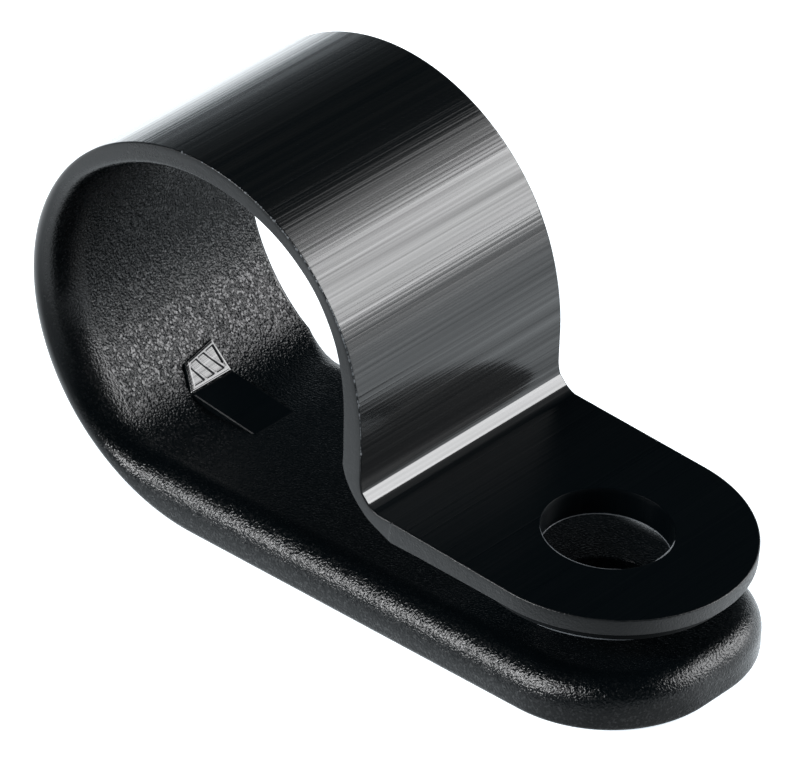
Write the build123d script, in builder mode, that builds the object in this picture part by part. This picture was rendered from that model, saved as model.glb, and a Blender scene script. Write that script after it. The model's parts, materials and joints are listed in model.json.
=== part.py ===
from build123d import *
import os
from math import atan2, cos, degrees, radians, sin, sqrt

# A moulded nylon cable clamp: a thin strap springs from a thick base, runs round a
# loop for the cable and comes back over the base as a tab, and one screw goes
# through both. It is moulded as one piece, shown relaxed, before it is screwed down.
# Millimetres. The origin is on the mounting face, on the axis of the base's screw
# hole. +X points to the screw end, the cable runs along Y, +Z is up.

# Driving sizes
strap_width = 9.5  # 3/8 in, along the cable
loop_radius = 7.0  # outside of the loop, tangent to the mounting face
loop_wall = 0.85  # wall of the loop's stiff back
strap_set_out = 0.1  # of the strap's straight stretch, beyond the loop's circle
hole_to_strap = 6.1  # screw axis to the outer face of that stretch
screw_hole = 4.3  # clears an M4 or No. 8 screw
half_width = strap_width / 2
loop_inner_radius = loop_radius - loop_wall
strap_face = loop_radius + strap_set_out  # outer face of the straight stretch, from the cable axis
hole_to_loop = hole_to_strap + strap_face  # screw axis to cable axis
loop_x = -hole_to_loop

# Base
base_thickness = 1.65
base_overhang = 4.7  # screw axis to the end of the base
base_end_flat = 1.3  # straight part of the base's end, between its corners
base_corner_radius = (strap_width - base_end_flat) / 2  # seen from above
base_edge_round = 1.15  # upper edge, right round the base
throat_radius = 2.5  # where the base's top turns up into the loop

# Loop's back: its inner edges are rounded too, and less and less towards the strap
back_edge_round = 0.7
thin_edge_round = 0.15  # where the strap begins to thin
round_blend_length = 4.0  # of the base, over which its round narrows to the back's

# Strap: where it leaves the circle, and its wall there
leave_angle = 20.0  # from the +X direction, about the cable axis
strap_root_wall = 0.76  # wall of the straight stretch
thin_from_angle = 100.0  # the loop's wall starts to thin here
half_thin_angle = 72.0
half_thin_wall = 0.58
thin_angle = 45.0  # and is thinnest here
thin_wall = 0.42

# Tab
tab_height = 4.2  # top of the tab over the screw axis, above the mounting face
tab_tilt = 3.0  # it droops towards its end
tab_wall = 0.65
tab_root_wall = 0.8
tab_taper_length = 0.61  # over which the root thins to the tab's wall
collar_height = 0.45  # raised ring under the tab, round the hole
collar_margin = 0.45  # between the collar and the tab's sides
collar_diameter = strap_width - 2 * collar_margin

# Bend between strap and tab: a bevel in the corner, a round on its other side
bevel_size = 0.4
bevel_step = 0.15  # narrow second bevel between the first and the tab's top
bevel_step_drop = 0.11
strap_bottom_rise = 0.6  # end of the strap's straight inner face, above the bevel
bend_depth = 1.95  # from the strap's inner face to where the tab's underside is level
bend_bulge = 0.27  # share of that depth that the round cuts off its corner

# Smooth marking pad inside the loop: a sloped part and a level part
pad_width = 1.9
pad_rise = 0.08
pad_back_angle = -137.0
pad_fold_angle = -124.5
pad_fold_inset = 0.11  # of the fold, inside the circle
pad_end_to_fold = 2.9


def at_angle(radius, angle):
    """The point of the loop's side view at a radius and an angle about the cable axis."""
    return (loop_x + radius * cos(radians(angle)), loop_radius + radius * sin(radians(angle)))


# The throat is an arc tangent to the base's top and to the loop's inner circle
throat_height = base_thickness + throat_radius
throat_reach = loop_inner_radius - throat_radius
throat_offset = -sqrt(throat_reach**2 - (loop_radius - throat_height) ** 2)
throat_angle = degrees(atan2(throat_height - loop_radius, throat_offset))
throat_start = (loop_x + throat_offset, base_thickness)
throat_end = at_angle(loop_inner_radius, throat_angle)
back_foot = (loop_x - loop_radius, loop_radius)
back_inner_foot = (loop_x - loop_inner_radius, loop_radius)


def rounded_section(wall, round_radius):
    """Section of a wall: its outer side on the plane's x axis, its inner corners rounded."""
    with Locations((0, -wall / 2)):
        corners = Rectangle(strap_width, wall).vertices().sort_by(Axis.Y)[:2]
    fillet(corners, radius=round_radius)


# The strap's outer face: off the circle by a larger arc, then straight down
leave_point = at_angle(loop_radius, leave_angle)
straight_x = loop_x + strap_face
easing_radius = (straight_x - leave_point[0]) / (1 - cos(radians(leave_angle)))
straight_top = (straight_x, leave_point[1] - easing_radius * sin(radians(leave_angle)))

# The strap's inner face
thin_start = at_angle(loop_inner_radius, thin_from_angle)
half_thin_point = at_angle(loop_radius - half_thin_wall, half_thin_angle)
thin_point = at_angle(loop_radius - thin_wall, thin_angle)
strap_inner_x = straight_x - strap_root_wall
strap_inner_top = (strap_inner_x, loop_radius)

# The tab, tilted by its droop; its wall thins just past the bend
tab_cos, tab_sin = cos(radians(tab_tilt)), sin(radians(tab_tilt))
tab_plane = Plane(origin=(0, 0, tab_height), x_dir=(tab_cos, 0, -tab_sin), z_dir=(tab_sin, 0, tab_cos))


def tab_point(distance, depth):
    """The point of the side view at a distance along the tab, past the screw axis, and a depth under its top."""
    return (distance * tab_cos - depth * tab_sin, tab_height - distance * tab_sin - depth * tab_cos)


tab_blank_end = half_width + tab_wall  # past the round end that trims it
tab_end_top = tab_point(tab_blank_end, 0)
tab_end_bottom = tab_point(tab_blank_end, tab_wall)
tab_root_distance = strap_inner_x + bend_depth
tab_root = tab_point(tab_root_distance, tab_root_wall)
tab_thin = tab_point(tab_root_distance + tab_taper_length, tab_wall)
tab_start = tab_point(straight_x + bevel_size + bevel_step, 0)

# The bend, over the tab's start
bevel_foot = (straight_x + bevel_size, tab_start[1] + bevel_step_drop)
bevel_top_height = bevel_foot[1] + bevel_size
bevel_top = (straight_x, bevel_top_height)
strap_bottom_height = bevel_top_height + strap_bottom_rise
strap_inner_bottom = (strap_inner_x, strap_bottom_height)
bend_cut = bend_bulge * bend_depth
bend_middle = (strap_inner_x + bend_cut, tab_root[1] + bend_cut)

# The marking pad stands a little proud of the loop's inner face and of the throat
pad_sink = loop_wall / 2
pad_back = at_angle(loop_inner_radius - pad_rise, pad_back_angle)
pad_fold = at_angle(loop_inner_radius - pad_fold_inset, pad_fold_angle)
pad_end = (pad_fold[0] + pad_end_to_fold, base_thickness + pad_rise)
pad_outline = [
    pad_back,
    pad_fold,
    pad_end,
    (pad_end[0], base_thickness - pad_sink),
    at_angle(loop_inner_radius + pad_sink, pad_fold_angle),
    at_angle(loop_inner_radius + pad_sink, pad_back_angle),
]

# Strap and tab: one side view across the whole width, with a round end about the screw
with BuildPart() as strap:
    with BuildSketch(Plane.XZ):
        with BuildLine():
            RadiusArc(at_angle(loop_radius, thin_from_angle), leave_point, loop_radius)
            RadiusArc(leave_point, straight_top, easing_radius)
            Polyline(straight_top, bevel_top, bevel_foot, tab_start, tab_end_top, tab_end_bottom, tab_thin, tab_root)
            ThreePointArc(tab_root, bend_middle, strap_inner_bottom)
            Line(strap_inner_bottom, strap_inner_top)
            Spline(
                strap_inner_top,
                thin_point,
                half_thin_point,
                thin_start,
                tangents=((0, 1), (-sin(radians(thin_from_angle)), cos(radians(thin_from_angle)))),
            )
            Line(thin_start, at_angle(loop_radius, thin_from_angle))
        make_face()
    extrude(amount=half_width, both=True)
    with BuildSketch():
        with Locations(((loop_x - loop_radius) / 2, 0)):
            Rectangle(hole_to_loop + loop_radius, strap_width)
        Circle(half_width)
    extrude(amount=3 * loop_radius, mode=Mode.INTERSECT)
    with BuildSketch(tab_plane.offset(-tab_wall - collar_height)):
        Circle(collar_diameter / 2)
    extrude(amount=collar_height + tab_wall / 2)
    with BuildSketch(tab_plane):
        Circle(screw_hole / 2)
    extrude(amount=-tab_wall - collar_height, mode=Mode.SUBTRACT)


def is_inner_rim(edge):
    """Whether an edge runs along one side of the wall, on its inner face."""
    beside = abs(edge.center().Y) > half_width / 2
    reaches = [Vector(end.X - loop_x, 0, end.Z - loop_radius).length for end in edge.vertices()]
    return beside and max(reaches) < loop_radius - loop_wall / 2


with BuildPart() as back:
    # Throat and lower half of the loop's back, with an even round on the inner edges
    with BuildSketch(Plane.XZ):
        with BuildLine():
            Polyline(throat_start, (loop_x, base_thickness), (loop_x, 0))
            RadiusArc((loop_x, 0), back_foot, loop_radius)
            Line(back_foot, back_inner_foot)
            RadiusArc(back_inner_foot, throat_end, -loop_inner_radius)
            RadiusArc(throat_end, throat_start, -throat_radius)
        make_face()
    extrude(amount=half_width, both=True)
    fillet(back.edges().filter_by(is_inner_rim), radius=back_edge_round)

with BuildPart() as clamp_body:
    # Base: a thick tongue with a rounded end and a rounded upper edge
    base_start = loop_x + round_blend_length
    with BuildSketch():
        with Locations(((base_start + base_overhang) / 2, 0)):
            Rectangle(base_overhang - base_start, strap_width)
    extrude(amount=base_thickness)
    fillet(clamp_body.edges().filter_by(Axis.Z).sort_by(Axis.X)[-2:], radius=base_corner_radius)
    base_top = clamp_body.faces().sort_by(Axis.Z)[-1]
    fillet(base_top.edges().sort_by(Axis.X)[1:], radius=base_edge_round)

    # Between base and back the round narrows
    for section_x, section_round in ((base_start, base_edge_round), (loop_x, back_edge_round)):
        with BuildSketch(Plane(origin=(section_x, 0, 0), x_dir=(0, 1, 0), z_dir=(-1, 0, 0))):
            rounded_section(base_thickness, section_round)
    loft()
    add(back.part)

    # Upper half of the loop's back, up to where the strap starts to thin
    for section_angle, section_round in ((180, back_edge_round), (thin_from_angle, thin_edge_round)):
        section_origin = at_angle(loop_radius, section_angle)
        tangent = (sin(radians(section_angle)), 0, -cos(radians(section_angle)))
        with BuildSketch(Plane(origin=(section_origin[0], 0, section_origin[1]), x_dir=(0, 1, 0), z_dir=tangent)):
            rounded_section(loop_wall, section_round)
    with BuildLine(Plane.XZ) as upper_path:
        RadiusArc(back_foot, at_angle(loop_radius, thin_from_angle), loop_radius)
    sweep(path=upper_path.line, multisection=True)

    with BuildSketch(Plane.XZ):
        with BuildLine():
            Polyline(pad_outline, close=True)
        make_face()
    extrude(amount=pad_width / 2, both=True)
    with BuildSketch():
        Circle(screw_hole / 2)
    extrude(amount=base_thickness, mode=Mode.SUBTRACT)
    add(strap.part)

clamp_body.part.label = "clamp_body"
os.makedirs("parts", exist_ok=True)
export_step(clamp_body.part, "parts/clamp_body.step")
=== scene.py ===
# %% [markdown]
# # A moulded nylon cable clamp
# This lesson dresses a small black cable clamp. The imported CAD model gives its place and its
# sizes, and every shape here is worked out again on finer grids, with the small rounds that
# catch the light. Lengths are in millimetres until a mesh is made, because that is how a
# moulding is drawn, and the frame is the CAD's: the origin on the mounting face under the
# screw, +X to the screw end, the cable along Y, +Z up.

# %% Load the CAD frame
import json
import math

import bmesh
import bpy
import numpy as np
from mathutils import Matrix

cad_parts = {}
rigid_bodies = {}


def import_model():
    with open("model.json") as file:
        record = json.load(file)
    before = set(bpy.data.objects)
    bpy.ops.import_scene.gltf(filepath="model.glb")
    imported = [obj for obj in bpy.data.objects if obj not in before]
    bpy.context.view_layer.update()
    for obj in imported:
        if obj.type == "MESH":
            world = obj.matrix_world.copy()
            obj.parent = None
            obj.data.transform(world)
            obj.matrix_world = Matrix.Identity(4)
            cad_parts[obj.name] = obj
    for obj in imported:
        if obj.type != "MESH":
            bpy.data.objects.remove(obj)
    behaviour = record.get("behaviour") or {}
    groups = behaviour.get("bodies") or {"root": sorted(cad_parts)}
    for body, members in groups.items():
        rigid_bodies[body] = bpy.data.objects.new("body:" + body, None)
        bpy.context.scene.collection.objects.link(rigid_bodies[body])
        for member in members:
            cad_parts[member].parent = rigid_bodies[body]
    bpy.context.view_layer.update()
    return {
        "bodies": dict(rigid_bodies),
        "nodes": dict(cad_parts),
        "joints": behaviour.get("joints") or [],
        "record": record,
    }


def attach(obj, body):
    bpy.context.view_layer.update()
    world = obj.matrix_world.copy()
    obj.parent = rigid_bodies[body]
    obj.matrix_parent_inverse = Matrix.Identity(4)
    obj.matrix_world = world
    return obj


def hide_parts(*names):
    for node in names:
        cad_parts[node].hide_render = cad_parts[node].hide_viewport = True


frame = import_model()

MM = 0.001

# %% [markdown]
# ## The side view
# Seen from the side the clamp is one strip of changing thickness. Its outer line is the
# underside of the base, the loop's circle, the strap's face and the tab's top. Its inner line
# is the base's top, the inside of the loop and the tab's underside. Both lines are sampled at
# the same stations, so a station is a cut through the wall. Round the loop the stations are
# rays from the cable's axis, because the wall's thickness is easy to read along a ray.

# %% Sizes of the side view
half_width = 4.75
loop_x, loop_z, loop_radius = -13.2, 7.0, 7.0
base_top = 1.65
throat_radius = 2.5
stiff_inner_radius = 6.15
throat_drop = loop_z - base_top - throat_radius
throat_x = -math.sqrt((stiff_inner_radius - throat_radius) ** 2 - throat_drop**2)
throat_z = -throat_drop
strap_face = 7.1
leave_circle = 20  # degrees: under this the strap's face leaves the loop's circle
tab_height, tab_tilt = 4.2, math.radians(3.0)
plate_reach = 4.75  # where the two screw plates take over from the strip

# Angle about the cable's axis, and the inside's distance from it there
inside_angles = np.array([-13, -0.8, 9.1, 18.4, 25.8, 34.2, 40.9, 50.7, 59.5, 67.5, 84,
                          96, 108, 122, 132, 145, 160, 180, 200, 215, 231])
inside_radii = np.array([6.5, 6.35, 6.39, 6.48, 6.56, 6.61, 6.64, 6.61, 6.56, 6.49, 6.38,
                         6.29, 6.19, 6.10, 6.09, 6.14, 6.18, 6.20, 6.19, 6.17, 6.15])

# Angle, and the inner edges' round there: its depth into the wall, its spread across the strap
round_angles = np.array([-20, 76, 86, 96, 108, 122, 132, 145, 160, 190, 215, 230, 247, 270])
round_radii = np.array([0.05, 0.05, 0.08, 0.15, 0.25, 0.40, 0.50,
                        0.62, 0.70, 0.74, 0.77, 0.86, 1.10, 1.20])
round_spread = np.array([0.05, 0.05, 0.08, 0.16, 0.34, 0.66, 0.98,
                         1.30, 1.55, 1.70, 1.62, 1.42, 1.22, 1.20])
thin_round = 0.05  # the inner edges' round at the bend

# Angle, and the radius of the outer edges' round there
edge_angles = np.array([-20, 20, 112, 128, 150, 180, 225, 270])
edge_radii = np.array([0.045, 0.045, 0.05, 0.08, 0.16, 0.20, 0.22, 0.20])
side_left = 0.04  # what the rounds leave of the side at least


def smooth_through(knots, values, at):
    """A smooth line through given points: on each span the cubic whose slopes at both ends
    are the mean slopes of the neighbouring spans (a Catmull-Rom curve)."""
    slopes = np.gradient(values, knots)
    k = np.clip(np.searchsorted(knots, at) - 1, 0, len(knots) - 2)
    span = knots[k + 1] - knots[k]
    t = (at - knots[k]) / span
    return ((1 + 2 * t) * (1 - t) ** 2 * values[k] + t * (1 - t) ** 2 * span * slopes[k]
            + t * t * (3 - 2 * t) * values[k + 1] + t * t * (t - 1) * span * slopes[k + 1])


def inside_reach(angle):
    """Distance from the cable's axis to the inside, along rays at the angles (degrees):
    the smooth line, then the throat's arc, then the base's flat top."""
    a = np.radians(angle)
    along = throat_x * np.cos(a) + throat_z * np.sin(a)
    throat = along + np.sqrt(np.maximum(along**2 - throat_x**2 - throat_z**2 + throat_radius**2, 0))
    flat = (loop_z - base_top) / np.maximum(-np.sin(a), 0.2)
    throat_from = math.degrees(math.atan2(throat_z, throat_x)) % 360
    flat_from = math.degrees(math.atan2(base_top - loop_z, throat_x)) % 360
    back = smooth_through(inside_angles, inside_radii, np.minimum(angle, inside_angles[-1]))
    return np.where(angle > flat_from, flat, np.where(angle > throat_from, throat, back))


print("throat centre", round(throat_x, 2), round(throat_z, 2))

# %% [markdown]
# ## Stations along the strip
# The stations start at the base's screw plate, run left under the loop, up round it and down
# the strap, through the bend with its two bevels, and end at the tab's screw plate.

# %% Stations
def ray_points(angle, reach):
    """Points at the angles (degrees) and distances about the cable's axis, as x and z."""
    a = np.radians(angle)
    return np.stack([loop_x + reach * np.cos(a), loop_z + reach * np.sin(a)], 1)


def outside_reach(angle):
    """The circle, or under the angle where it is left the easing arc and the straight face."""
    a = np.radians(angle)
    leave = math.radians(leave_circle)
    ease = (strap_face - loop_radius * math.cos(leave)) / (1 - math.cos(leave))
    centre_x = strap_face - ease
    centre_z = loop_radius * math.sin(leave) - ease * math.sin(leave)
    along = centre_x * np.cos(a) + centre_z * np.sin(a)
    arc = along + np.sqrt(along**2 - centre_x**2 - centre_z**2 + ease**2)
    straight = strap_face / np.maximum(np.cos(a), 0.5)
    below = np.tan(a) * strap_face < centre_z
    return np.where(angle > leave_circle, loop_radius, np.where(below, straight, arc))


def along_line(knots, t):
    """Points of a polyline through (t, x, z) knots, at the values t."""
    knots = np.array(knots, float)
    return np.stack([np.interp(t, knots[:, 0], knots[:, k]) for k in (1, 2)], 1)


def tab_line(distance, depth):
    """Side-view points of the tab: a distance past the screw axis along it, a depth under its top."""
    return np.stack([distance * math.cos(tab_tilt) - depth * math.sin(tab_tilt),
                     tab_height - distance * math.sin(tab_tilt) - depth * math.cos(tab_tilt)], -1)


def tab_wall(distance):
    """The tab thins from the bend to its end."""
    return np.interp(distance, [-4.9, -3.5, 0, 4.75], [0.77, 0.70, 0.60, 0.565])


base_x = np.linspace(-plate_reach, loop_x, 40)[:-1]
base_outer = np.stack([base_x, np.zeros_like(base_x)], 1)
base_inner = np.stack([base_x, np.full_like(base_x, base_top)], 1)

loop_angle = np.linspace(270, -12.4, 260)[:-1]
loop_outer = ray_points(loop_angle, outside_reach(loop_angle))
loop_inner = ray_points(loop_angle, inside_reach(loop_angle))

# The bend: knots are a place along it, x from the cable's axis and height
bevel_knots = [(0.00, 7.10, 5.51), (0.06, 7.103, 5.43), (0.12, 7.109, 5.35), (0.18, 7.117, 5.27),
               (0.24, 7.130, 5.19), (0.30, 7.147, 5.11), (0.36, 7.170, 5.03), (0.41, 7.200, 4.947),
               (0.66, 7.45, 4.685), (0.68, 7.475, 4.665), (0.72, 7.54, 4.620), (0.76, 7.61, 4.575),
               (0.80, 7.70, 4.528), (0.86, 7.82, tab_line(np.array([-5.38]), 0.0)[0, 1]),
               (1.00, *(tab_line(np.array([-plate_reach]), 0.0)[0] - [loop_x, 0]))]
under_end = tab_line(np.array([-plate_reach]), tab_wall(-plate_reach))[0] - [loop_x, 0]
under_knots = np.array([(0.00, 6.35, 5.70), (0.12, 6.42, 5.42), (0.26, 6.54, 5.15),
                        (0.42, 6.71, 4.87), (0.56, 6.92, 4.60), (0.68, 7.17, 4.35),
                        (0.78, 7.49, 4.10), (0.88, 7.92, 3.90), (1.00, *under_end)])
bend_place = np.unique(np.concatenate([np.linspace(0, 1, 46), [k[0] for k in bevel_knots]]))
bend_outer = along_line(bevel_knots, bend_place) + [loop_x, 0]
bend_inner = np.stack([smooth_through(under_knots[:, 0], under_knots[:, 1], bend_place) + loop_x,
                       smooth_through(under_knots[:, 0], under_knots[:, 2], bend_place)], 1)


def per_station(on_base, on_loop, on_bend):
    """One value per station: a number for the base's, the loop's own, a number for the bend's."""
    return np.concatenate([np.full(len(base_x), on_base), on_loop, np.full(len(bend_place), on_bend)])


outer_line = np.concatenate([base_outer, loop_outer, bend_outer])
inner_line = np.concatenate([base_inner, loop_inner, bend_inner])
wall = np.linalg.norm(inner_line - outer_line, axis=1)
loop_round = smooth_through(round_angles, round_radii, loop_angle)
loop_spread = smooth_through(round_angles, round_spread, loop_angle)
loop_edge = smooth_through(edge_angles, edge_radii, loop_angle)
outer_round = per_station(edge_radii[-1], loop_edge, edge_radii[0])
inner_round = per_station(round_radii[-1], loop_round, thin_round)
inner_round = np.minimum(inner_round, wall - outer_round - side_left)
inner_spread = per_station(round_spread[-1], loop_spread, thin_round)

# Up the loop the far edge keeps a small round, which grows to the near edge's only at the base
far_share = per_station(1.0, np.interp(loop_angle, [236, 262], [0, 1]), 1.0)
far_round = np.minimum(inner_round, 0.12 + 2 * far_share)
far_spread = np.minimum(inner_spread, 0.16 + 2 * far_share)
print(len(wall), "stations, wall from", round(wall.min(), 2), "to", round(wall.max(), 2))

# %% [markdown]
# ## The cut through the wall
# Every cut is a rectangle whose corners are rounded: little on the outer face, and on the inner
# face by up to 1.2 mm on the base, which gives the clamp its soft, fat edge there. Carrying
# this cut along the stations makes the whole strip as one skin.

# %% The cut and the strip
face_columns = 25
outer_steps, side_steps, inner_steps = 5, 3, 12


def rim_profile(wall, outer_round, inner_round, inner_spread):
    """From the outer face over the edge to the inner face: how far in from the side each
    point is and how deep under the outer face. A quarter circle of the outer round, a
    straight run down the side, a quarter ellipse of the inner round. Any array shape."""
    wall, outer_round, inner_round, inner_spread = (
        np.asarray(v, float)[..., None] for v in (wall, outer_round, inner_round, inner_spread))
    first = np.linspace(0, np.pi / 2, outer_steps + 1)
    last = np.linspace(0, np.pi / 2, inner_steps + 1)
    run = np.linspace(0, 1, side_steps + 1)[1:-1]
    inset = np.concatenate([outer_round * (1 - np.sin(first)), np.zeros_like(wall * run),
                            inner_spread * (1 - np.cos(last))], -1)
    depth = np.concatenate([outer_round * (1 - np.cos(first)),
                            outer_round + (wall - outer_round - inner_round) * run,
                            wall - inner_round * (1 - np.sin(last))], -1)
    return inset, depth


def face_row(half):
    """Columns across a face, from -half to half, with one close to each edge, which keeps
    the shading flat up to the edge."""
    share = np.concatenate([[-1], np.linspace(-0.99, 0.99, face_columns - 2), [1]])
    return np.asarray(half, float)[..., None] * share


def strip_points(outer_line, inner_line, outer_round, near, far):
    """Point (i, j): station i, and j round the closed cut: outer face, far rim, inner face
    back, near rim. The point is outer + depth * (inner - outer) / wall, at its y. The inner
    round of each rim is a pair of its depth and its spread across the strap."""
    wall = np.linalg.norm(inner_line - outer_line, axis=1)
    near_inset, near_depth = rim_profile(wall, outer_round, *near)
    far_inset, far_depth = rim_profile(wall, outer_round, *far)
    top = face_row(half_width - outer_round)
    middle, half = (near[1] - far[1]) / 2, half_width - (near[1] + far[1]) / 2
    under = middle[:, None] + face_row(half)
    y = np.concatenate([top, half_width - far_inset[:, 1:-1], under[:, ::-1],
                        near_inset[:, ::-1][:, 1:-1] - half_width], 1)
    zero = np.zeros_like(top)
    q = np.concatenate([zero, far_depth[:, 1:-1], zero + wall[:, None],
                        near_depth[:, ::-1][:, 1:-1]], 1)
    share = (q / wall[:, None])[..., None]
    flat = outer_line[:, None] * (1 - share) + inner_line[:, None] * share
    return np.stack([flat[..., 0], y, flat[..., 1]], -1)


def grid_faces(rows, columns, start, closed=False):
    """Quads between neighbouring rows and columns of a grid whose points are numbered from
    start row by row. A closed grid joins its last column to its first."""
    i = np.arange(rows - 1)[:, None]
    j = np.arange(columns if closed else columns - 1)[None, :]
    k = (j + 1) % columns
    quads = np.stack([i * columns + j, i * columns + k, (i + 1) * columns + k, (i + 1) * columns + j], -1)
    return quads.reshape(-1, 4) + start


rim_steps = outer_steps + side_steps + inner_steps
FACE, RIM = face_columns - 1, rim_steps
strip = strip_points(outer_line, inner_line, outer_round,
                     near=(inner_round, inner_spread), far=(far_round, far_spread))
print("strip grid", strip.shape)

# %% [markdown]
# ## The two screw plates
# Each end is a plate with a hole: the tab with its round end, and the base's end with a flatter
# one. A plate's faces are grids between two closed lines, the hole's edge and the plate's
# outline, and its rim is the same cut as the strip's, carried round the outline. The outline's
# straight fourth side is the strip's last cut, so the skins meet point for point.

# %% Outlines
screw_hole_radius, hole_edge = 2.105, 0.02
collar_radius, collar_depth = 4.40, 0.99
corner, flat_half = 4.1, 0.65  # the base's end: its corners' radius, half its flat middle
end_reach = 4.7
corner_from = end_reach - corner
end_zone = (2.4, 4.4)  # along a plate, where its end begins and where it is fully there


def arc(centre_a, centre_y, radius, start, end, count):
    """Points and inward directions on an arc, from start to end degrees."""
    t = np.radians(np.linspace(start, end, count))
    direction = np.stack([np.cos(t), np.sin(t)], 1)
    return np.array([centre_a, centre_y]) + radius * direction, -direction


def side_run(start, end, side, count):
    """Points and inward directions on a straight side of the plate."""
    a = np.linspace(start, end, count)
    return np.stack([a, np.full(count, side * half_width)], 1), np.tile([0.0, -side], (count, 1))


def chain(*runs):
    """Runs one after another, each without its last point, and the last one whole."""
    points = [p[:-1] for p, _ in runs[:-1]] + [runs[-1][0]]
    inward = [n[:-1] for _, n in runs[:-1]] + [runs[-1][1]]
    return np.concatenate(points), np.concatenate(inward)


tab_outline = chain(side_run(-plate_reach, 0, -1, 16), arc(0, 0, half_width, -90, 90, 73),
                    side_run(0, -plate_reach, 1, 16))
end_run = (np.stack([np.full(7, end_reach), np.linspace(-flat_half, flat_half, 7)], 1),
           np.tile([-1.0, 0.0], (7, 1)))
base_outline = chain(side_run(-plate_reach, corner_from, -1, 16),
                     arc(corner_from, -flat_half, corner, -90, 0, 34), end_run,
                     arc(corner_from, flat_half, corner, 0, 90, 34),
                     side_run(corner_from, -plate_reach, 1, 16))

# %% Plates
def quarter(count=4):
    """Angles of a quarter turn."""
    return np.linspace(0, np.pi / 2, count)


def hole_profile(under_depth, collar):
    """Radius and depth pairs from the outer face's hole edge, down the hole's wall, and with
    a collar out along its end and up its side."""
    t, r, e = quarter(), screw_hole_radius, hole_edge
    run = np.linspace(0, 1, 6)[1:-1]
    parts = [(r + e * (1 - np.sin(t)), e * (1 - np.cos(t))),
             (np.full(4, r), e + (under_depth - 2 * e) * run),
             (r + e * (1 - np.cos(t)), under_depth - e * (1 - np.sin(t)))]
    if collar:
        parts += [(np.linspace(r + e, collar_radius - e, 7)[1:-1], np.full(5, under_depth)),
                  (collar_radius - e * (1 - np.sin(t)), under_depth - e * (1 - np.cos(t)))]
    return np.concatenate([p[0] for p in parts]), np.concatenate([p[1] for p in parts])


def plate(outline, wall_at, outer_round, inner_round, collar, place, end_share=1.0, rings=14):
    """A plate's four grids: its rim, its outer face, its under face and its hole. wall_at
    gives the wall at a distance along the plate, and place turns (along, y, depth) into
    x, y, z. Towards the plate's end the inner round shrinks to its end share."""
    points, inward = outline
    wall = wall_at(points[:, 0])
    inner_round = inner_round * np.interp(points[:, 0], end_zone, [1.0, end_share])
    inset, depth = rim_profile(wall, np.full_like(wall, outer_round), inner_round, inner_round)
    flat = points[:, None] + inward[:, None] * inset[..., None]
    rim = place(flat[..., 0], flat[..., 1], depth)

    def closed_line(run, half):
        """The line with its straight fourth side, where the strip's last cut is."""
        row = face_row(half)[-2:0:-1]
        return np.concatenate([run, np.stack([np.full(len(row), -plate_reach), row], 1)])

    around = closed_line(points, half_width)
    outer_border = closed_line(flat[:, 0], half_width - outer_round)
    under_border = closed_line(flat[:, -1], half_width - inner_round[0])
    turn = around / np.linalg.norm(around, axis=1)[:, None]
    share = np.concatenate([[0, 0.015], np.linspace(0.08, 0.92, rings - 4), [0.985, 1]])[:, None, None]
    outer_ring = (screw_hole_radius + hole_edge) * turn
    outer_flat = outer_ring + share * (outer_border - outer_ring)
    outer_face = place(outer_flat[..., 0], outer_flat[..., 1], np.zeros(outer_flat.shape[:2]))
    under_radius = collar_radius if collar else screw_hole_radius + hole_edge
    under_ring = under_radius * turn
    under_flat = under_ring + share * (under_border - under_ring)
    ring_wall, border_wall = wall_at(under_ring[:, 0]), wall_at(around[:, 0])
    under_wall = ring_wall + share[..., 0] * (border_wall - ring_wall)
    under_face = place(under_flat[..., 0], under_flat[..., 1], under_wall)
    radius, hole_depth = hole_profile(collar_depth if collar else float(wall_at(0.0)), collar)
    ring = radius[:, None, None] * turn[None]
    hole = place(ring[..., 0], ring[..., 1], np.repeat(hole_depth[:, None], len(turn), 1))
    if collar:
        hole = np.concatenate([hole, under_face[:1]])
    return rim, outer_face, under_face, hole


def place_tab(a, y, depth):
    """On the tab: along its droop and down from its top."""
    flat = tab_line(np.asarray(a), np.asarray(depth))
    return np.stack([flat[..., 0], y, flat[..., 1]], -1)


def place_base(a, y, depth):
    """On the base: the depth is up from the mounting face."""
    return np.stack([a, y, depth], -1)


def base_wall(distance):
    """The base is as thick at every distance."""
    return np.full(np.shape(distance), base_top)


tab_plate = plate(tab_outline, tab_wall, outer_round[-1], inner_round[-1], True, place_tab)
base_plate = plate(base_outline, base_wall, outer_round[0], inner_round[0], False, place_base,
                   end_share=0.75)
print("plate grids", [g.shape[:2] for g in tab_plate], [g.shape[:2] for g in base_plate])

# %% [markdown]
# ## One closed skin
# All grids go into one mesh, and points that lie on each other are merged, which closes it.
# Each quad keeps the finish of its zone as its material number, and each point how far along
# the strap it lies, which the mould's draw marks follow.

# %% Build the clamp's mesh
POLISHED, SIDE, ERODED, SATIN, BEVEL, ROUND = range(6)
steps_between = np.linalg.norm(np.diff(outer_line, axis=0), axis=1)
outer_length = np.concatenate([[0], np.cumsum(steps_between)])
strip_zone = np.concatenate([np.full(FACE, POLISHED), np.full(RIM, ROUND),
                             np.full(FACE, ERODED), np.full(RIM, ROUND)])
bend_from = len(base_x) + len(loop_angle)
bevel_span = (0.385, 0.68)  # along the bend, where the bright bevel starts and ends
bevel_from, tab_from = (bend_from + int(np.searchsorted(bend_place, t)) for t in bevel_span)

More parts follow.
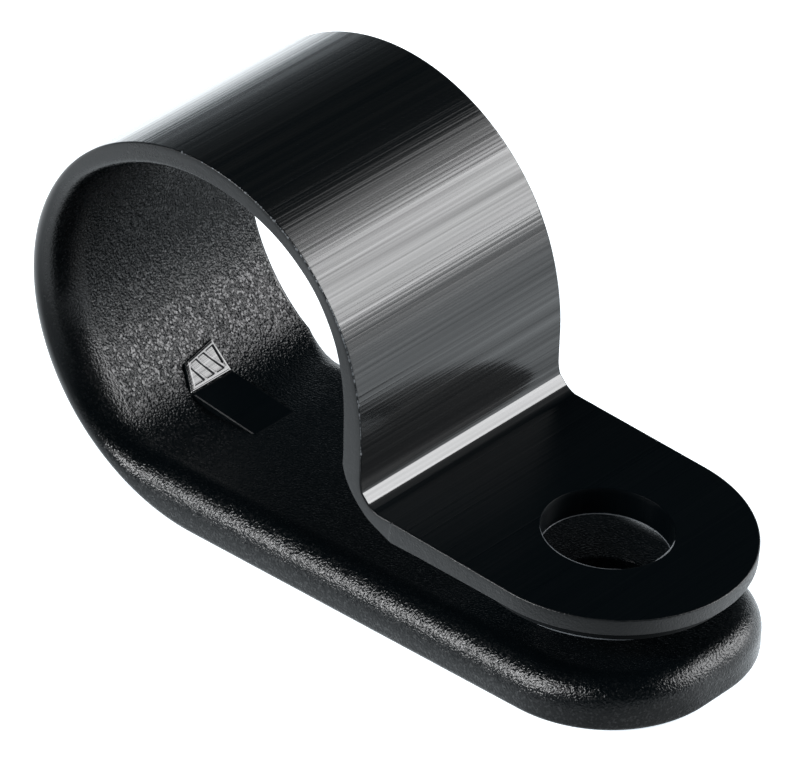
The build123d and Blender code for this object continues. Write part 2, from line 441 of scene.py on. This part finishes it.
# How grained each point is. The flat top of the base is by a third, and the loop's inside
# fully. The near rim is by its side's share, which changes with the climb from the base (in
# quarter turns), and less over the columns where the rim is calm. The last columns of a rim
# lead over to the face's grain.
flat_top_grain = 0.35
climb = per_station(0.0, (270 - loop_angle) / 90, 3.0)
face_grain = np.interp(climb, [0.0, 0.30], [flat_top_grain, 1.0])[:, None]
side_climbs = [0.25, 0.60, 1.2, 1.4, 1.75, 2.2, 2.5, 2.9]
side_grains = [1.0, 0.0, 0.0, 0.12, 0.24, 0.20, 0.02, 0.20]
side_grain = np.interp(climb, side_climbs, side_grains)[:, None]
calm = np.concatenate([np.ones(outer_steps), [1.0, 1.0, 0.97], [0.92, 0.75, 0.50, 0.25, 0.10],
                       np.zeros(inner_steps - 4)])[None, 1:-1]
near_grain = side_grain + (1 - side_grain) * (0.01 + 0.39 * (1 - calm))
one_face = np.ones((1, face_columns))
to_flat = np.interp(np.arange(RIM + 1)[1:-1], [RIM - 4, RIM], [0, 1])[None, :]
near_grain = near_grain * (1 - to_flat) + face_grain * to_flat
far_grain = (1 - to_flat) + face_grain * to_flat
strip_grain = np.concatenate([side_grain * one_face, far_grain,
                              face_grain * one_face, near_grain[:, ::-1]], 1)
strip_zones = np.tile(strip_zone, (len(wall) - 1, 1))
strip_zones[bevel_from:tab_from, :FACE] = BEVEL
strip_zones[tab_from:, :FACE] = SATIN


def clamp_mesh():
    """Gathers the grids into arrays: points, quads, zones, lengths along the strap, grain."""
    points, quads, zones, along, grained = [], [], [], [], []
    count = 0

    def add(grid, zone, length, grain, closed):
        nonlocal count
        rows, columns = grid.shape[:2]
        faces = grid_faces(rows, columns, count, closed)
        points.append(grid.reshape(-1, 3))
        quads.append(faces)
        zones.append(np.broadcast_to(zone, (rows - 1, len(faces) // (rows - 1))).reshape(-1))
        along.append(np.broadcast_to(length, (rows, columns)).reshape(-1))
        grained.append(np.broadcast_to(grain, (rows, columns)).reshape(-1))
        count += rows * columns

    add(strip, strip_zones, outer_length[:, None], strip_grain, True)
    rim_grain = np.interp(np.arange(RIM + 1), [RIM - 6, RIM], [1, flat_top_grain])
    for grids, sign, start, finishes in (
            (tab_plate, 1, outer_length[-1], (SIDE, SATIN, SIDE, SATIN)),
            (base_plate, -1, 0.0, (ROUND, SIDE, ERODED, ERODED))):
        end_grain = np.interp(grids[0][:, :1, 0], end_zone, [1.0, 1.2])
        grains = (end_grain * rim_grain, 1.0, flat_top_grain, flat_top_grain)
        for grid, finish, grain, closed in zip(grids, finishes, grains, (False, True, True, True)):
            add(grid, finish, start + sign * (grid[..., 0] + plate_reach), grain, closed)
    return [np.concatenate(parts) for parts in (points, quads, zones, along, grained)]


def make_object(name, points, quads, zones, along=None, grained=None):
    """A mesh object from arrays in millimetres, its doubles merged and its faces turned out."""
    mesh = bpy.data.meshes.new(name)
    mesh.from_pydata((points * MM).tolist(), [], quads.tolist())
    mesh.polygons.foreach_set("material_index", np.asarray(zones, np.int32))
    for label, values in (("along", along), ("grained", grained)):
        if values is not None:
            attribute = mesh.attributes.new(label, "FLOAT", "POINT")
            attribute.data.foreach_set("value", np.asarray(values, np.float32))
    edit = bmesh.new()
    edit.from_mesh(mesh)
    bmesh.ops.remove_doubles(edit, verts=edit.verts, dist=2e-7)
    bmesh.ops.recalc_face_normals(edit, faces=edit.faces)
    open_edges = sum(not e.is_manifold for e in edit.edges)
    volume = edit.calc_volume(signed=True) / MM**3
    edit.to_mesh(mesh)
    edit.free()
    mesh.polygons.foreach_set("use_smooth", np.ones(len(mesh.polygons), bool))
    mesh.set_sharp_from_angle(angle=math.radians(33))
    made = bpy.data.objects.new(name, mesh)
    bpy.context.scene.collection.objects.link(made)
    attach(made, "root")
    print(name, len(mesh.polygons), "faces, open edges", open_edges, "volume", round(volume, 2), "mm3")
    return made


clamp = make_object("clamp", *clamp_mesh())
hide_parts("clamp_body")

# %% [markdown]
# ## The marking pad
# Inside the loop a small smooth pad breaks the grain, where the mould has an insert. One part
# lies flat on the base and one leans up the loop's back. The leaning part has a plain raised
# frame with slanted bars, as geometry, because the frame's edges catch the light.

# %% Pad relief
pad_half, pad_sink = 0.95, 0.3
pad_soft = 0.04  # how far in, and how deep, the pad's border falls off
pad_back, pad_fold = (-4.34, 2.82), (-3.42, 2.01)
pad_end = (-0.62, 1.668)
relief_height = 0.045
frame_inset, frame_half = 0.13, 0.045
bars_from, relief_from = 0.12, 0.08  # from the pad's border to where the bars and the relief start
bar_half, bar_spacing, bar_lean, bar_narrowing = 0.055, 0.42, 0.62, 0.85
near_slant, near_shift = 0.22, 0.45  # how the leaning part is cut back towards its near side


def bar(distance, half, edge=0.018):
    """1 on a bar of this half width about distance 0, 0 outside it, with a straight slope."""
    return np.clip((half + edge - np.abs(distance)) / edge, 0, 1)


def pad_relief(run, y, length):
    """Height of the frame and of three slanted bars at (run, y): the highest of the bars."""
    to_end, to_side = np.minimum(run, length - run), pad_half - np.abs(y)
    frame = np.maximum(bar(to_end - frame_inset, frame_half), bar(to_side - frame_inset, frame_half))
    leaning = (y - bar_lean * (run - length / 2)) * bar_narrowing
    slanted = np.stack([bar(leaning - shift, bar_half) for shift in (-bar_spacing, 0.0, bar_spacing)])
    outer = (to_end > relief_from) & (to_side > relief_from)
    inside = (to_end > bars_from) & (to_side > bars_from)
    return relief_height * np.maximum(frame * outer, slanted.max(0) * inside)


def pad_part(name, start, end, relief, rows, slant=0.0, columns=76):
    """A thin slab over the line from start to end (x from the cable's axis, z): the point
    (i, j) is the line at i, at y of j, raised square to the line by the relief. The same
    grid sunk below it closes the slab. A slant shortens the slab towards its near side."""
    start, end = np.array(start), np.array(end)
    length = float(np.linalg.norm(end - start))
    along = (end - start) / length
    upward = np.array([-along[1], along[0]])
    share, y = np.meshgrid(np.linspace(0, 1, rows), np.linspace(-pad_half, pad_half, columns),
                           indexing="ij")
    run = share * length
    to_border = np.minimum(np.minimum(run, length - run), pad_half - np.abs(y))
    soft = pad_soft * (1 - np.clip(to_border / pad_soft, 0, 1)) ** 2
    height = (pad_relief(run, y, length) if relief else 0 * run) - soft
    across = (y + pad_half) / (2 * pad_half)
    placed_run = length - (1 - share) * length * (1 - slant * (1 - across))
    placed_y = y + near_shift * slant / near_slant * (1 - share) * (1 - across)
    points = []
    for level in (height, 0 * height - pad_sink):
        flat = start + placed_run[..., None] * along + level[..., None] * upward
        points.append(np.stack([flat[..., 0] + loop_x, placed_y, flat[..., 1]], -1).reshape(-1, 3))
    count = rows * columns
    top = grid_faces(rows, columns, 0)
    index = np.arange(count).reshape(rows, columns)
    border = np.concatenate([index[0, :-1], index[:-1, -1], index[-1, :0:-1], index[:0:-1, 0]])
    following = np.roll(border, -1)
    skirt = np.stack([border, following, following + count, border + count], 1)
    quads = np.concatenate([top, top[:, ::-1] + count, skirt])
    zones = np.concatenate([np.full(len(top), BEVEL if relief else SATIN),
                            np.full(len(top) + len(skirt), SATIN)])
    run_along = np.tile(run.reshape(-1), 2)
    return make_object(name, np.concatenate(points), quads, zones, run_along)


pad_lean = pad_part("pad_leaning", pad_back, pad_fold, True, 60, slant=near_slant)
pad_flat = pad_part("pad_level", pad_fold, pad_end, False, 40)

# %% [markdown]
# ## Flash and painted highlights
# Where the mould's halves meet, a moulding keeps a hair of flash. Here it is painted pale, so it
# is also a painted highlight: a fine bright line round the screw hole, the collar and the strap's
# near edge, over spans set from the camera's side. A bead of changing thickness, carried round a
# circle or along the edge, makes each line, and a few specks of the same sit on the edge.

# %% Flash beads, painted pale as highlights
def bead_ring(radius, depth, thickness, middle, span, count=121, sides=8):
    """A bead on a circle about the tab's hole: point (i, j) is at angle i round the circle
    and angle j round the bead. It swells from nothing and back over the span (degrees), as
    the root of a half sine, and its ends close as their points merge."""
    turn = np.radians(middle + np.linspace(-span / 2, span / 2, count))[:, None]
    round_bead = np.linspace(0, 2 * np.pi, sides, endpoint=False)[None, :]
    swell = thickness * np.sqrt(np.abs(np.sin(np.linspace(0, np.pi, count))))[:, None]
    reach = radius + swell * np.cos(round_bead)
    return place_tab(reach * np.cos(turn), reach * np.sin(turn), depth + swell * np.sin(round_bead))


def speck(x, y, z, size, rings=7, sides=10):
    """A speck of flash, painted pale as a glint: an egg stretched along Z, by latitude and longitude."""
    lat = np.linspace(0, np.pi, rings)[:, None]
    lon = np.linspace(0, 2 * np.pi, sides, endpoint=False)[None, :]
    return np.stack([loop_x + x + size * np.sin(lat) * np.cos(lon),
                     y + size * np.sin(lat) * np.sin(lon),
                     z + 1.6 * size * np.cos(lat) + 0 * lon], -1)


def on_strap(angle):
    """x and z of the strap's outer face at an angle about the cable's axis."""
    reach = float(outside_reach(np.array([angle]))[0])
    return reach * math.cos(math.radians(angle)), loop_z + reach * math.sin(math.radians(angle))


def edge_bead(first, last, flash_y, count=420, sides=8):
    """A bead along the strap's near edge: point (i, j) is at angle i about the cable's axis,
    a little under the outer face, and at angle j round the bead. Two sines beat against each
    other for its ripple, and a root of a half sine closes its ends."""
    angle = np.linspace(first, last, count)
    edge_x, edge_z = np.array([on_strap(a) for a in angle]).T
    ripple = np.abs(np.sin(1.7 * angle) * np.sin(0.61 * angle + 1) + 0.5 * np.sin(4.3 * angle))
    swell = (0.006 + 0.022 * np.minimum(ripple, 1)) * np.sin(np.linspace(0, np.pi, count)) ** 0.3
    turn = np.linspace(0, 2 * np.pi, sides, endpoint=False)[None, :]
    reach = swell[:, None] * np.cos(turn) - 0.02
    return np.stack([loop_x + edge_x[:, None] + np.cos(np.radians(angle))[:, None] * reach,
                     flash_y + swell[:, None] * np.sin(turn),
                     edge_z[:, None] + np.sin(np.radians(angle))[:, None] * reach], -1)


# The beads' spans are set from the camera's side, where the edges show lit: painted highlights.
camera_side = -50
hair = 0.014
near_y = 0.02 - half_width
beads = [bead_ring(screw_hole_radius + 0.005, collar_depth, hair * 1.5, 180 + camera_side, 300),
         bead_ring(screw_hole_radius + 0.012, 0.0, hair * 0.8, camera_side - 38, 100),
         bead_ring(screw_hole_radius + 0.012, 0.0, hair * 1.8, camera_side + 62, 36),
         bead_ring(collar_radius, collar_depth - 0.01, hair * 1.5, camera_side - 8, 40)]
for angle, size in ((95, 0.03), (62, 0.03), (30, 0.035), (9, 0.03), (-5, 0.03)):
    x, z = on_strap(angle)
    beads.append(speck(x, near_y, z, size))
beads.append(edge_bead(104, -11, near_y))
starts = np.cumsum([0] + [grid.shape[0] * grid.shape[1] for grid in beads])
bead_quads = np.concatenate([grid_faces(*grid.shape[:2], start, True)
                             for grid, start in zip(beads, starts)])
flash_and_highlights = make_object("flash_and_highlights", np.concatenate([grid.reshape(-1, 3) for grid in beads]), bead_quads,
                    np.zeros(len(bead_quads), int))

# %% [markdown]
# ## Shader helpers
# The finishes share two effects, so each effect is a node group with named inputs, and every
# material sets its own values there. The groups put out heights and masks only. The Principled
# shader stays in the material, where the export can read it.

# %% Node helpers
def new_group(name, inputs, outputs):
    """An empty shader node group with float inputs (name, value) and float outputs (name)."""
    group = bpy.data.node_groups.new(name, "ShaderNodeTree")
    for label, value in inputs:
        socket = group.interface.new_socket(label, in_out="INPUT", socket_type="NodeSocketFloat")
        socket.default_value = value
    for label in outputs:
        group.interface.new_socket(label, in_out="OUTPUT", socket_type="NodeSocketFloat")
    return group


def add_node(tree, kind, settings=None, **inputs):
    """A node with its settings, and its inputs by name, or by number as i0, i1: an output
    socket is linked, a number set."""
    node = tree.nodes.new(kind)
    for key, value in (settings or {}).items():
        setattr(node, key, value)
    for label, value in inputs.items():
        numbered = label[0] == "i" and label[1:].isdigit()
        socket = node.inputs[int(label[1:]) if numbered else label.replace("_", " ")]
        if isinstance(value, bpy.types.NodeSocket):
            tree.links.new(value, socket)
        else:
            socket.default_value = value
    return node


def maths(tree, operation, a, b):
    """One Math node's result."""
    return add_node(tree, "ShaderNodeMath", {"operation": operation}, i0=a, i1=b).outputs[0]


def weighted(tree, *pairs):
    """The sum of (value, weight) pairs."""
    total, *rest = [maths(tree, "MULTIPLY", value, weight) for value, weight in pairs]
    for term in rest:
        total = maths(tree, "ADD", total, term)
    return total


def map_range(tree, value, source, target=(0.0, 1.0)):
    """One Map Range node's result: the value's way through the source range, in the target's."""
    node = add_node(tree, "ShaderNodeMapRange", {}, Value=value, From_Min=source[0],
                    From_Max=source[1], To_Min=target[0], To_Max=target[1])
    return node.outputs[0]


def noise(tree, vector, scale, roughness=0.5):
    """One Noise node's value, with one octave of detail."""
    node = add_node(tree, "ShaderNodeTexNoise", {}, Vector=vector, Scale=scale, Detail=1.0,
                    Roughness=roughness)
    return node.outputs["Fac"]


def object_place(tree):
    """The place in the object's own coordinates, in metres."""
    return add_node(tree, "ShaderNodeTexCoord").outputs["Object"]


# %% [markdown]
# ## Spark grain
# The inside and the base are moulded against spark-eroded steel, which leaves a fine, uneven
# grain. Its height is mostly a fine noise, with a slow swell under it and the cells of a Voronoi
# texture for the crater rims. Each cell also has its own number, the pit, which the finishes
# turn into gloss. Bump shows the grain, because at a tenth of a millimetre it is too fine for
# geometry.

# %% Group: spark grain
grain = new_group("spark_grain", [("Crater Size", 0.12), ("Rim Noise", 0.4)], ["Height", "Pit"])
inlet, outlet = grain.nodes.new("NodeGroupInput"), grain.nodes.new("NodeGroupOutput")
per_crater = maths(grain, "DIVIDE", 1 / MM, inlet.outputs["Crater Size"])
scaled = add_node(grain, "ShaderNodeVectorMath", {"operation": "SCALE"},
                  i0=object_place(grain), Scale=per_crater).outputs[0]
craters = add_node(grain, "ShaderNodeTexVoronoi", {"feature": "F1"}, Vector=scaled, Scale=1.3)
height = weighted(grain, (noise(grain, scaled, 1.2), 2.0),
                  (craters.outputs["Distance"], inlet.outputs["Rim Noise"]),
                  (noise(grain, scaled, 0.4), 0.6))
shade = add_node(grain, "ShaderNodeSeparateXYZ", {}, i0=craters.outputs["Color"])
grain.links.new(height, outlet.inputs["Height"])
grain.links.new(shade.outputs["X"], outlet.inputs["Pit"])

# %% [markdown]
# ## Draw streaks
# The strap's outer face was polished in the mould by strokes along the cable's direction, so
# its marks are straight lines across the strap. They are noise read far along the strap's
# length, which each point carries as "along", and hardly across it.

# %% Group: draw streaks
streaks = new_group("draw_streaks", [("Along", 0.0), ("Streak Width", 0.1), ("Fade", 0.05)], ["Height", "Streak"])
inlet, outlet = streaks.nodes.new("NodeGroupInput"), streaks.nodes.new("NodeGroupOutput")
across = add_node(streaks, "ShaderNodeSeparateXYZ", {}, i0=object_place(streaks)).outputs["Y"]
across_mm = maths(streaks, "MULTIPLY", across, 1 / MM)
lines = add_node(streaks, "ShaderNodeCombineXYZ", {},
                 X=maths(streaks, "DIVIDE", inlet.outputs["Along"], inlet.outputs["Streak Width"]),
                 Y=maths(streaks, "MULTIPLY", across_mm, inlet.outputs["Fade"])).outputs[0]
both = weighted(streaks, (noise(streaks, lines, 0.32, 0.6), 0.55), (noise(streaks, lines, 1.1, 0.6), 0.45))
mixed = weighted(streaks, (both, 0.75), (noise(streaks, lines, 0.10), 0.25))
streaks.links.new(both, outlet.inputs["Height"])
streaks.links.new(map_range(streaks, mixed, (0.38, 0.62)), outlet.inputs["Streak"])

# %% [markdown]
# ## Six finishes of one nylon
# The moulding is one black nylon, and only its surface changes: polished on the strap, bright
# on the bevel, satin on the tab, fine matt on the tab's sides and the underside, spark-eroded
# inside and on the base, and calmer on the rounded edges. Gloss level and index are plain values
# on the shader. Roughness, normal and a clear coat vary over the surface. The polished face's
# smooth streaks are painted paler by a trace, a painted sheen. The flash is a seventh material,
# painted pale: partly a thin hair of flash, partly a painted highlight along the edges.

# %% Materials
nylon_black = (0.0008, 0.0017, 0.0023)
nylon_index = 1.53
glint_pits, glint_rough = (0.70, 0.95), 0.22  # the cells that sparkle, and their coat's roughness
calm_rough, calm_coat_rough = 0.36, 0.30
edge_calm, edge_shine = (0.86, 1.0), 0.6  # how calm the edge is, and how much coat it gains
streak_coat_rough = 0.16


def nylon(name, roughness, gloss=0.5):
    """A material with the nylon's colour and index. Gives its tree and its shader."""
    material = bpy.data.materials.new(name)
    material.use_nodes = True
    shader = material.node_tree.nodes["Principled BSDF"]
    shader.inputs["Base Color"].default_value = (*nylon_black, 1)
    shader.inputs["Roughness"].default_value = roughness
    shader.inputs["IOR"].default_value = nylon_index
    shader.inputs["Specular IOR Level"].default_value = gloss
    return material, material.node_tree, shader


def use_group(tree, group, **inputs):
    """The group placed in a tree, with its inputs set or linked."""
    return add_node(tree, "ShaderNodeGroup", {"node_tree": group}, **inputs)


def point_value(tree, name):
    """A value that each point of the mesh carries."""
    return add_node(tree, "ShaderNodeAttribute", {"attribute_name": name}).outputs["Fac"]


def bump_with(tree, shader, height, depth_mm):
    """Bump of a depth in millimetres."""
    bump = add_node(tree, "ShaderNodeBump", {}, Height=height, Distance=depth_mm * MM, Strength=1.0)
    tree.links.new(bump.outputs[0], shader.inputs["Normal"])


def grained(name, crater, depth_mm, low, high, gloss=0.5, sparkle=0.0, calm_shine=0.0, fading=True):
    """A nylon with spark grain of a crater size and depth. Each cell has its own roughness,
    and the cells with the highest numbers sparkle by a clear coat. The points' "grained" value
    fades the grain, and with a calm shine a coat takes its place there, most at the edge."""
    material, tree, shader = nylon(name, high, gloss)
    cells = use_group(tree, grain, Crater_Size=crater)
    height, pit = cells.outputs["Height"], cells.outputs["Pit"]
    strength = point_value(tree, "grained")
    bump_with(tree, shader, maths(tree, "MULTIPLY", height, strength) if fading else height, depth_mm)
    rough = map_range(tree, pit, (0.0, 1.0), (low, high))
    glint = map_range(tree, pit, glint_pits, (0.0, sparkle))
    coat = maths(tree, "MULTIPLY", glint, maths(tree, "MINIMUM", strength, 1.0))
    shader.inputs["Coat Roughness"].default_value = calm_coat_rough if calm_shine else glint_rough
    if calm_shine:
        calm = maths(tree, "SUBTRACT", 1.0, strength)
        rough = maths(tree, "MAXIMUM", rough, maths(tree, "MULTIPLY", calm, calm_rough))
        edge = map_range(tree, calm, edge_calm, (0.0, edge_shine))
        coat = maths(tree, "ADD", coat, maths(tree, "ADD", edge, maths(tree, "MULTIPLY", calm, calm_shine)))
    tree.links.new(rough, shader.inputs["Roughness"])
    tree.links.new(coat, shader.inputs["Coat Weight"])
    return material


def drawn(name, depth_mm, low, high, gloss=0.5, shine=0.0, glow=0.0):
    """A nylon with draw streaks of a depth. Where a streak is smooth it is less rough, and
    has up to "shine" of a clear coat, which is brighter in a lamp's reflection, and with a
    glow a trace of a paler colour there, a painted sheen."""
    material, tree, shader = nylon(name, high, gloss)
    marks = use_group(tree, streaks, Along=point_value(tree, "along"))
    streak = marks.outputs["Streak"]
    bump_with(tree, shader, marks.outputs["Height"], depth_mm)
    tree.links.new(map_range(tree, streak, (0.0, 1.0), (high, low)), shader.inputs["Roughness"])
    # Painted sheen: with a glow the smooth streaks get a trace of a paler colour.
    if glow:
        painted_sheen = add_node(tree, "ShaderNodeMix", {"data_type": "RGBA"})
        tree.links.new(streak, painted_sheen.inputs["Factor"])
        painted_sheen.inputs["A"].default_value = (*nylon_black, 1)
        painted_sheen.inputs["B"].default_value = (0.8 * glow, 0.95 * glow, glow, 1)
        tree.links.new(painted_sheen.outputs["Result"], shader.inputs["Base Color"])
    if shine:
        tree.links.new(maths(tree, "MULTIPLY", streak, shine), shader.inputs["Coat Weight"])
        shader.inputs["Coat Roughness"].default_value = streak_coat_rough
    return material


finishes = [drawn("nylon_polished", 0.022, 0.12, 0.25, gloss=0.27, shine=0.66, glow=0.005),
            grained("nylon_side", 0.09, 0.006, 0.30, 0.46, gloss=0.37, fading=False),
            grained("nylon_eroded", 0.09, 0.021, 0.08, 0.30, gloss=0.16, sparkle=0.62),
            drawn("nylon_satin", 0.014, 0.26, 0.38, gloss=0.045),
            drawn("nylon_bevel", 0.008, 0.08, 0.18, gloss=0.46, shine=0.6),
            grained("nylon_round", 0.085, 0.0105, 0.14, 0.28, gloss=0.26, sparkle=0.4, calm_shine=0.24)]
for piece in (clamp, pad_lean, pad_flat):
    for finish in finishes:
        piece.data.materials.append(finish)
# Painted highlight: the pale colour stands in for light on the edges, partly thin flash.
pale, tree, shader = nylon("nylon_flash_and_highlights", 0.35)
shader.inputs["Base Color"].default_value = (0.10, 0.11, 0.12, 1)
cells = use_group(tree, grain, Crater_Size=0.05)
bump_with(tree, shader, cells.outputs["Height"], 0.004)
rough = map_range(tree, cells.outputs["Pit"], (0.3, 0.7), (0.3, 0.5))
tree.links.new(rough, shader.inputs["Roughness"])
flash_and_highlights.data.materials.append(pale)
print("finishes", [finish.name for finish in finishes + [pale]])

# %% [markdown]
# ## Camera
# The camera stands where the photograph was taken from: far off and long in the lens, in front
# of the screw end and above it. It looks along a line beside the clamp, so its place is given
# by two shifts across the view.

# %% Camera
azimuth, elevation, roll = (math.radians(v) for v in (40.3203, 33.2662, 2.1925))
focal_pixels, shift_right, shift_up, distance = 7506.5, 3.5813, 2.9219, 241.792
image_width, sensor = 800, 36.0
back = np.array([math.sin(azimuth) * math.cos(elevation),
                 -math.cos(azimuth) * math.cos(elevation), math.sin(elevation)])
level = np.array([math.cos(azimuth), math.sin(azimuth), 0.0])
upright = np.cross(back, level)
right = math.cos(roll) * level + math.sin(roll) * upright
up = -math.sin(roll) * level + math.cos(roll) * upright


def set_frame(made, columns, place):
    """Turns and places an object: three axes and a place, in metres."""
    made.matrix_world = Matrix([[*row] for row in np.column_stack([*columns, place])] + [[0, 0, 0, 1]])


camera = bpy.data.objects.new("camera", bpy.data.cameras.new("camera"))
bpy.context.scene.collection.objects.link(camera)
camera.data.sensor_width = sensor
camera.data.lens = focal_pixels * sensor / image_width
camera.data.clip_start, camera.data.clip_end = 0.01, 20
stand = shift_right * right + shift_up * up + distance * back + [loop_x, 0, 0]
set_frame(camera, (right, up, back), stand * MM)
bpy.context.scene.camera = camera
print("lens", round(camera.data.lens, 1), "mm")

# %% [markdown]
# ## Light
# Two softboxes, as in a product studio. The one behind on the right makes the broad band on the
# strap and the bright bevel, and a larger, weaker one round it softens the band's borders. The
# one in front on the left draws the line along the base's round edge. Black gloss shows only
# what it reflects, so their places matter more than their strength.

# %% Softboxes
lamp_colour = (0.985, 0.99, 1.0)
aim = np.array([-0.008, 0, 0.005])


def softbox(name, az, el, width, height, radiance, tilt=0.0, reach=1.0):
    """An area lamp at an azimuth and elevation (degrees) that faces the clamp, with its
    right end tilted up. Its power is radiance * pi * area, so the radiance is what a mirror
    would show."""
    a, e, t = math.radians(az), math.radians(el), math.radians(tilt)
    toward = np.array([math.cos(a) * math.cos(e), math.sin(a) * math.cos(e), math.sin(e)])
    lamp = bpy.data.lights.new(name, "AREA")
    lamp.shape, lamp.size, lamp.size_y = "RECTANGLE", width, height
    lamp.color = lamp_colour
    lamp.energy = radiance * math.pi * width * height
    made = bpy.data.objects.new(name, lamp)
    bpy.context.scene.collection.objects.link(made)
    side = np.cross([0, 0, 1], toward)
    side /= np.linalg.norm(side)
    side = math.cos(t) * side + math.sin(t) * np.cross(toward, side)
    set_frame(made, (side, np.cross(toward, side), toward), toward * reach + aim)
    return made


softbox("softbox_back_right", 54, 26.5, 0.74, 0.50, 8.2)
softbox("softbox_back_right_glow", 54, 24.5, 0.74, 0.92, 2.2)
softbox("softbox_front_left", -112, 30, 0.74, 0.15, 35.0, tilt=42)

# %% [markdown]
# ## Floor and sky
# The floor is white paper. It shows itself white to the camera and in reflections through
# Light Path, and its diffuse part keeps the clamp's shadow. What the clamp sees of it is dimmer
# at three places, towards the camera, behind the loop and beside the base's end: painted shade,
# in the paper's glow and colour. Under the base's screw hole it doesn't glow, which leaves the
# hole in shade. The sky fades from a pale horizon to dark.

# %% Floor
floor_half = 3.0
cool = (0.88, 0.975, 1.04)
dark_under_hole = 2.5 * MM
camera_glow, paper_white = 0.85, 0.8
front_direction = (0.45, -0.89, 0.0)
floor_mesh = bpy.data.meshes.new("floor")
floor_corners = [(x * floor_half, y * floor_half, 0) for x, y in ((-1, -1), (1, -1), (1, 1), (-1, 1))]
floor_mesh.from_pydata(floor_corners, [], [(0, 1, 2, 3)])
floor = bpy.data.objects.new("floor", floor_mesh)
bpy.context.scene.collection.objects.link(floor)
paper = bpy.data.materials.new("white_paper")
paper.use_nodes = True
tree = paper.node_tree
tree.nodes.clear()


def floor_measure(operation, point):
    """A vector operation between the floor's own coordinates and a point: a distance from it,
    or how far the floor reaches in its direction."""
    node = add_node(tree, "ShaderNodeVectorMath", {"operation": operation}, i0=object_place(tree), i1=point)
    return node.outputs["Value"]


rays = add_node(tree, "ShaderNodeLightPath").outputs
open_floor = maths(tree, "GREATER_THAN", floor_measure("DISTANCE", (0, 0, 0)), dark_under_hole)
painted_floor_shade = None
# Painted shade: the paper's glow and colour are dimmed in three patches, for what the clamp reflects.
for operation, point, way, light in (
        ("DOT_PRODUCT", front_direction, (5 * MM, 11.5 * MM), (1.0, 0.25)),
        ("DISTANCE", (-0.012, 0.013, 0.0), (6 * MM, 18 * MM), (0.35, 1.0)),
        ("DISTANCE", (0.0045, -0.003, 0.0), (2 * MM, 6 * MM), (0.4, 1.0))):
    dimmed = map_range(tree, floor_measure(operation, point), way, light)
    painted_floor_shade = maths(tree, "MULTIPLY", painted_floor_shade, dimmed) if painted_floor_shade else dimmed
mirrored = maths(tree, "MAXIMUM", rays["Is Glossy Ray"], rays["Is Transmission Ray"])
shown = maths(tree, "ADD", maths(tree, "MULTIPLY", rays["Is Camera Ray"], camera_glow),
              maths(tree, "MULTIPLY", painted_floor_shade, mirrored))
glow = add_node(tree, "ShaderNodeEmission", {}, Color=(*cool, 1),
                Strength=maths(tree, "MULTIPLY", shown, open_floor))
white = maths(tree, "MULTIPLY", maths(tree, "MAXIMUM", painted_floor_shade, rays["Is Camera Ray"]), paper_white)
grey = add_node(tree, "ShaderNodeCombineColor", {}, Red=white, Green=white, Blue=white).outputs[0]
paint = add_node(tree, "ShaderNodeBsdfDiffuse", {}, Color=grey)
total = add_node(tree, "ShaderNodeAddShader", {}, i0=glow.outputs[0], i1=paint.outputs[0])
add_node(tree, "ShaderNodeOutputMaterial", {}, Surface=total.outputs[0])
floor_mesh.materials.append(paper)

# %% Sky
world = bpy.data.worlds.new("studio")
bpy.context.scene.world = world
world.use_nodes = True
tree = world.node_tree
direction = add_node(tree, "ShaderNodeTexCoord").outputs["Generated"]
height = add_node(tree, "ShaderNodeSeparateXYZ", {}, i0=direction).outputs["Z"]
fade = add_node(tree, "ShaderNodeValToRGB", {}, Fac=height)
sky_steps = [(0.0, 0.80), (0.09, 0.50), (0.24, 0.27), (0.38, 0.13), (0.51, 0.05), (0.62, 0.02)]
while len(fade.color_ramp.elements) < len(sky_steps):
    fade.color_ramp.elements.new(0.5)
for element, (place, strength) in zip(fade.color_ramp.elements, sky_steps):
    element.position = place
    element.color = (*(strength * c for c in cool), 1)
seen = add_node(tree, "ShaderNodeLightPath")
sky = add_node(tree, "ShaderNodeMix", {"data_type": "RGBA"})
tree.links.new(seen.outputs["Is Camera Ray"], sky.inputs["Factor"])
tree.links.new(fade.outputs[0], sky.inputs["A"])
sky.inputs["B"].default_value = (1, 1, 1, 1)
tree.links.new(sky.outputs["Result"], tree.nodes["Background"].inputs["Color"])

# %% View transform
bpy.context.scene.view_settings.view_transform = "Standard"
